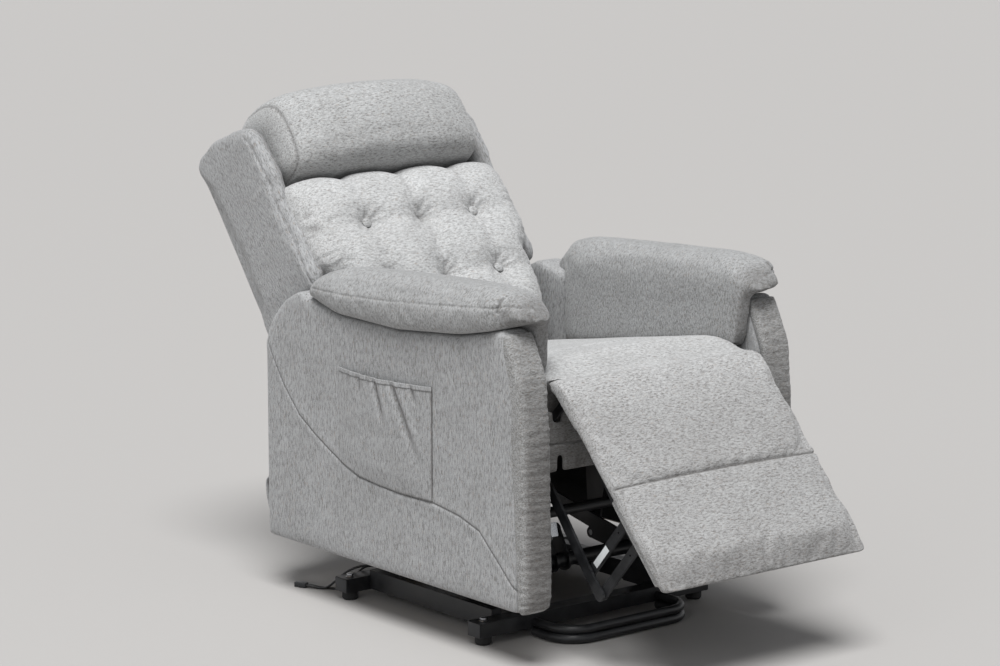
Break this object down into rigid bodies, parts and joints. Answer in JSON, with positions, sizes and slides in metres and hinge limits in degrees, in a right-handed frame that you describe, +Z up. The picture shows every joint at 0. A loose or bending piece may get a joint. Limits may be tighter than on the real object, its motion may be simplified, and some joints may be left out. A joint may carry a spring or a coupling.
{
  "type": "lift recliner chair",
  "caption": "Upholstered powered recliner on a steel base that raises and tilts the whole chair, with a reclining back, a hinged footrest and a side pocket for the handset.",
  "frame": {"origin": "on the floor, below the middle of the chair as it stands, part reclined with the footrest half raised", "axes": "+Z up, -Y the way the sitter faces, +X the sitter's left"},
  "size_m": [0.76, 1.5067, 1.0428],
  "materials": {
    "black_steel": "black gloss paint",
    "bright_steel": "zinc plated",
    "ram_steel": "polished",
    "motor_casing": "fine texture",
    "light_chenille": "woven chenille",
    "shaded_chenille": "woven chenille",
    "webbing": "woven strap",
    "frame_wood": "sawn",
    "black_rubber": "matt",
    "handset_plastic": "fine texture",
    "button_plastic": "smooth"
  },
  "bodies": {
    "base": {"base_front_tube": "black_steel", "base_rear_tube": "black_steel", "base_side_rails": "black_steel", "toe_loop": "black_steel", "toe_loop_upper": "black_steel", "foot_glides": "black_rubber", "lift_base_brackets": "black_steel", "lift_base_pins": "bright_steel", "lift_motor_clevis": "black_steel", "power_box": "motor_casing", "power_lead_upper": "black_rubber", "power_lead_lower": "black_rubber", "power_lead_plug": "black_rubber"},
    "lift_arm": {"rear_lift_arms": "black_steel", "lift_torque_tube": "black_steel", "lift_crank": "black_steel", "lift_arm_pins": "bright_steel"},
    "front_link": {"front_lift_links": "black_steel"},
    "lift_motor": {"lift_motor": "motor_casing"},
    "lift_ram": {"lift_ram": "ram_steel"},
    "chair": {"mechanism_side_plates": "black_steel", "mechanism_cross_tubes": "black_steel", "chair_pivot_pins": "bright_steel", "seat_side_rails": "frame_wood", "seat_end_rails": "frame_wood", "rear_bottom_rail": "frame_wood", "seat_webbing": "webbing", "seat_cushion": "light_chenille", "seat_valance": "shaded_chenille", "side_panel_right": "light_chenille", "side_panel_left": "light_chenille", "arm_board_right": "frame_wood", "arm_board_left": "frame_wood", "arm_front_right": "shaded_chenille", "arm_front_left": "shaded_chenille", "arm_pad_right": "light_chenille", "arm_pad_left": "light_chenille", "side_pocket": "light_chenille", "handset": "handset_plastic", "rear_skirt": "light_chenille"},
    "button_raise": {"button_raise": "button_plastic"},
    "button_lower": {"button_lower": "button_plastic"},
    "button_recline": {"button_recline": "button_plastic"},
    "button_upright": {"button_upright": "button_plastic"},
    "back": {"back_hinge_arms": "black_steel", "back_uprights": "frame_wood", "back_rails": "frame_wood", "back_webbing": "webbing", "back_shell": "light_chenille", "head_pillow": "light_chenille", "lumbar_cushion": "light_chenille", "tuft_buttons": "light_chenille"},
    "recline_motor": {"recline_motor": "motor_casing"},
    "recline_ram": {"recline_ram": "ram_steel"},
    "footrest": {"leg_pad": "light_chenille", "leg_board": "light_chenille", "leg_arms": "black_steel", "leg_pins": "bright_steel"},
    "leg_drive": {"leg_drive_links": "black_steel"},
    "leg_bar_upper": {"leg_bar_upper": "black_steel"},
    "leg_bar_lower": {"leg_bar_lower": "black_steel"}
  },
  "joints": [
    {"name": "lift", "type": "hinge", "parent": "base", "child": "lift_arm", "pos_m": [0, -0.119, 0.105], "axis": [1, 0, 0], "range_deg": [0, 45]},
    {"name": "front_link_swing", "type": "hinge", "parent": "base", "child": "front_link", "pos_m": [0, -0.169, 0.073], "axis": [1, 0, 0], "range_deg": [0, 54.5]},
    {"name": "chair_tilt", "type": "hinge", "parent": "lift_arm", "child": "chair", "pos_m": [0, 0.225, 0.176], "axis": [1, 0, 0], "range_deg": [-22.5, 0]},
    {"name": "lift_motor_swing", "type": "hinge", "parent": "base", "child": "lift_motor", "pos_m": [0, 0.202, 0.088], "axis": [1, 0, 0], "range_deg": [0, 1.55]},
    {"name": "lift_ram_stroke", "type": "slide", "parent": "lift_motor", "child": "lift_ram", "axis": [0, -0.9678, 0.2518], "range_m": [0, 0.0492]},
    {"name": "recline", "type": "hinge", "parent": "chair", "child": "back", "pos_m": [0, 0.237, 0.47], "axis": [-1, 0, 0], "range_deg": [-22, 22]},
    {"name": "recline_motor_swing", "type": "hinge", "parent": "chair", "child": "recline_motor", "pos_m": [0, -0.09, 0.385], "axis": [1, 0, 0], "range_deg": [-0.36, 0.36]},
    {"name": "recline_ram_stroke", "type": "slide", "parent": "recline_motor", "child": "recline_ram", "axis": [0, 0.9975, 0.0702], "range_m": [-0.0235, 0.0235]},
    {"name": "footrest", "type": "hinge", "parent": "chair", "child": "footrest", "pos_m": [0, -0.423, 0.52], "axis": [-1, 0, 0], "range_deg": [-42, 46]},
    {"name": "leg_drive_swing", "type": "hinge", "parent": "chair", "child": "leg_drive", "pos_m": [0, -0.316, 0.396], "axis": [-1, 0, 0], "range_deg": [-42, 46]},
    {"name": "leg_bar_upper_swing", "type": "hinge", "parent": "footrest", "child": "leg_bar_upper", "pos_m": [0, -0.589, 0.313], "axis": [-1, 0, 0], "range_deg": [-46, 42]},
    {"name": "leg_bar_lower_swing", "type": "hinge", "parent": "footrest", "child": "leg_bar_lower", "pos_m": [0, -0.624, 0.275], "axis": [-1, 0, 0], "range_deg": [-46, 42]},
    {"name": "button_raise_press", "type": "slide", "parent": "chair", "child": "button_raise", "axis": [1, 0, 0], "range_m": [0, 0.0012], "stiffness_N_per_m": 500, "springref_m": -0.0015},
    {"name": "button_lower_press", "type": "slide", "parent": "chair", "child": "button_lower", "axis": [1, 0, 0], "range_m": [0, 0.0012], "stiffness_N_per_m": 500, "springref_m": -0.0015},
    {"name": "button_recline_press", "type": "slide", "parent": "chair", "child": "button_recline", "axis": [1, 0, 0], "range_m": [0, 0.0012], "stiffness_N_per_m": 500, "springref_m": -0.0015},
    {"name": "button_upright_press", "type": "slide", "parent": "chair", "child": "button_upright", "axis": [1, 0, 0], "range_m": [0, 0.0012], "stiffness_N_per_m": 500, "springref_m": -0.0015}
  ],
  "couplings": [
    {"joint": "front_link_swing", "follows": "lift", "ratio": 1.203},
    {"joint": "chair_tilt", "follows": "lift", "ratio": -0.5},
    {"joint": "lift_motor_swing", "follows": "lift", "ratio": 0.034},
    {"joint": "lift_ram_stroke", "follows": "lift", "m_per_rad": 0.06245},
    {"joint": "recline_motor_swing", "follows": "recline", "ratio": 0.0155},
    {"joint": "recline_ram_stroke", "follows": "recline", "m_per_rad": -0.0603},
    {"joint": "leg_drive_swing", "follows": "footrest", "ratio": 1},
    {"joint": "leg_bar_upper_swing", "follows": "footrest", "ratio": -1},
    {"joint": "leg_bar_lower_swing", "follows": "footrest", "ratio": -1}
  ]
}
